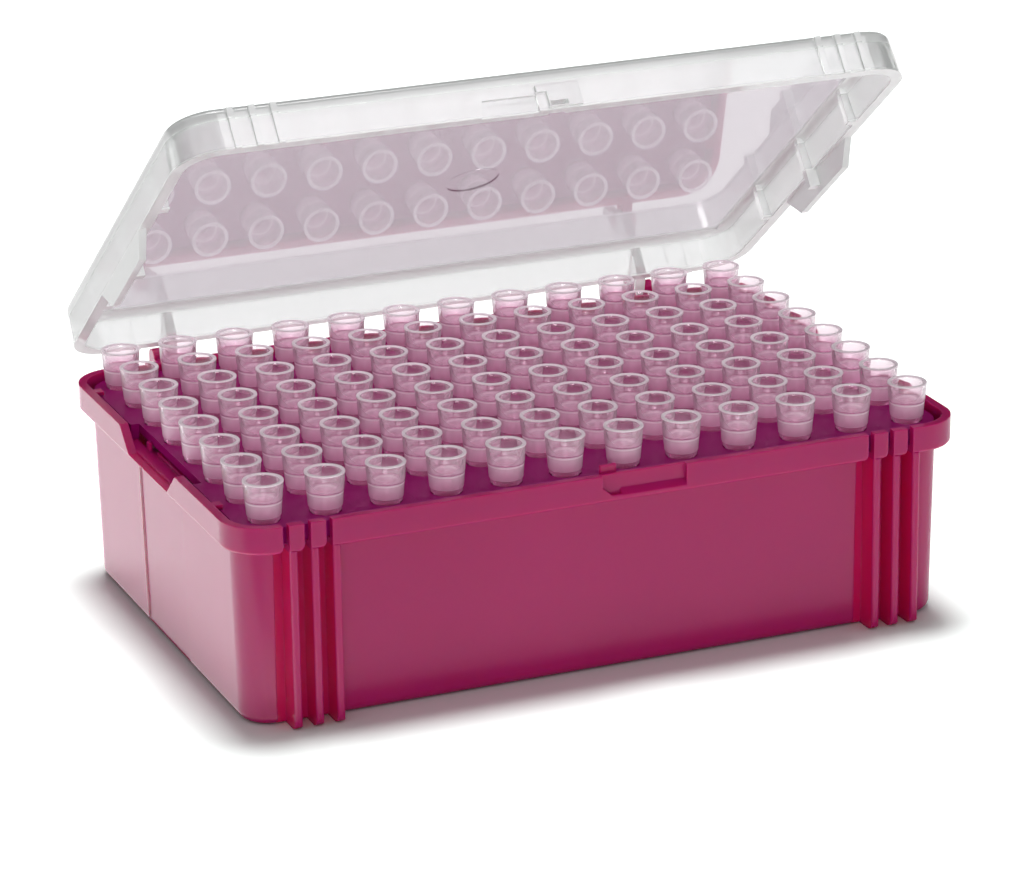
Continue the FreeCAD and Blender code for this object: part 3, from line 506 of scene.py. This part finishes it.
def spinTip(bm, x, y):
    profile = [
        bm.verts.new((x + radius * mm, y, tipMouth - depth * mm))
        for radius, depth in tip["outside"] + tip["inside"]
    ]
    ring = [bm.edges.new((a, b)) for a, b in zip(profile, profile[1:] + profile[:1])]
    bmesh.ops.spin(
        bm, geom=profile + ring, cent=(x, y, 0), axis=(0, 0, 1), angle=math.tau,
        steps=tip["segments"], use_merge=True,
    )


def addTipColumn(number):
    bm = bmesh.new()
    x = (number - 1 - (tip["columns"] - 1) / 2) * gridPitch
    for row in range(tip["rows"]):
        spinTip(bm, x, (row - (tip["rows"] - 1) / 2) * gridPitch)
    bmesh.ops.remove_doubles(bm, verts=bm.verts, dist=tip["weld"])
    bmesh.ops.recalc_face_normals(bm, faces=bm.faces)
    mesh = bpy.data.meshes.new(f"pipette_tips_{number:02d}")
    bm.to_mesh(mesh)
    bm.free()
    mesh.shade_smooth()
    mesh.set_sharp_from_angle(angle=math.radians(tip["sharpAngle"]))
    mesh.materials.append(finishes["natural_tip"])
    piece = bpy.data.objects.new(mesh.name, mesh)
    bpy.context.scene.collection.objects.link(piece)
    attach(piece, "base")
    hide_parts(f"tips_column_{number:02d}")


for number in range(1, tip["columns"] + 1):
    addTipColumn(number)
print("tips made")

# each soft box: middle, the point it faces, length and width in metres, power in watts and
# what it lights; a card only shines in polished faces
softBoxes = {
    "overhead": {"place": (0.16, 0.26, 1.2), "aim": (0, 0, 0.02), "size": (0.4, 0.4),
                 "power": 2.7, "lights": "all"},
    "paperLight": {"place": (0.04, 0.16, 1.0), "aim": (0, 0, 0), "size": (0.3, 0.3),
                   "power": 11.0, "lights": "floor"},
    "front": {"place": (-0.41, -1.13, 0.27), "aim": (0, 0, 0.02), "size": (0.5, 0.16),
              "power": 3.2, "lights": "object"},
    "leftCard": {"place": (-0.155, 0.12, 0.001), "aim": (-0.155, 0.12, 1), "size": (0.212, 0.36),
                 "power": 0.26, "lights": "base", "card": True},
    "frontCard": {"place": (0.03, -0.075, 0.001), "aim": (0.03, -0.075, 1), "size": (0.2, 0.07),
                  "power": 0.014, "lights": "base", "card": True},
    "lidCard": {"place": (0.29, -0.44, 0.70), "aim": (0, -0.02, 0.08), "size": (0.4, 0.4),
                "power": 1.3, "lights": "lid", "card": True},
    "lidSky": {"place": (-0.3, -0.3, 1.2), "aim": (0, 0, 0.08), "size": (1.8, 1.8),
               "power": 9.0, "lights": "lid", "card": True},
}


def lightOnly(lamp, wanted):
    # the floor, the whole object, or one node by its name
    group = bpy.data.collections.new(lamp.name + "Lights")
    for piece in bpy.context.scene.objects:
        kind = "floor" if piece.name == "floor" else "object"
        if piece.type == "MESH" and wanted in (kind, piece.name):
            group.objects.link(piece)
    lamp.light_linking.receiver_collection = group


def addLamp(name, box):
    data = bpy.data.lights.new(name, "AREA")
    data.shape = "RECTANGLE"
    data.size, data.size_y = box["size"]
    data.energy = box["power"]
    lamp = bpy.data.objects.new(name, data)
    place = Vector(box["place"])
    turn = (Vector(box["aim"]) - place).to_track_quat("-Z", "Y").to_matrix().to_4x4()
    lamp.matrix_world = Matrix.Translation(place) @ turn
    lamp.visible_camera = False
    lamp.visible_diffuse = "card" not in box
    bpy.context.scene.collection.objects.link(lamp)
    if box["lights"] != "all":
        lightOnly(lamp, box["lights"])


for name, box in softBoxes.items():
    addLamp(name, box)
print("lamps made")
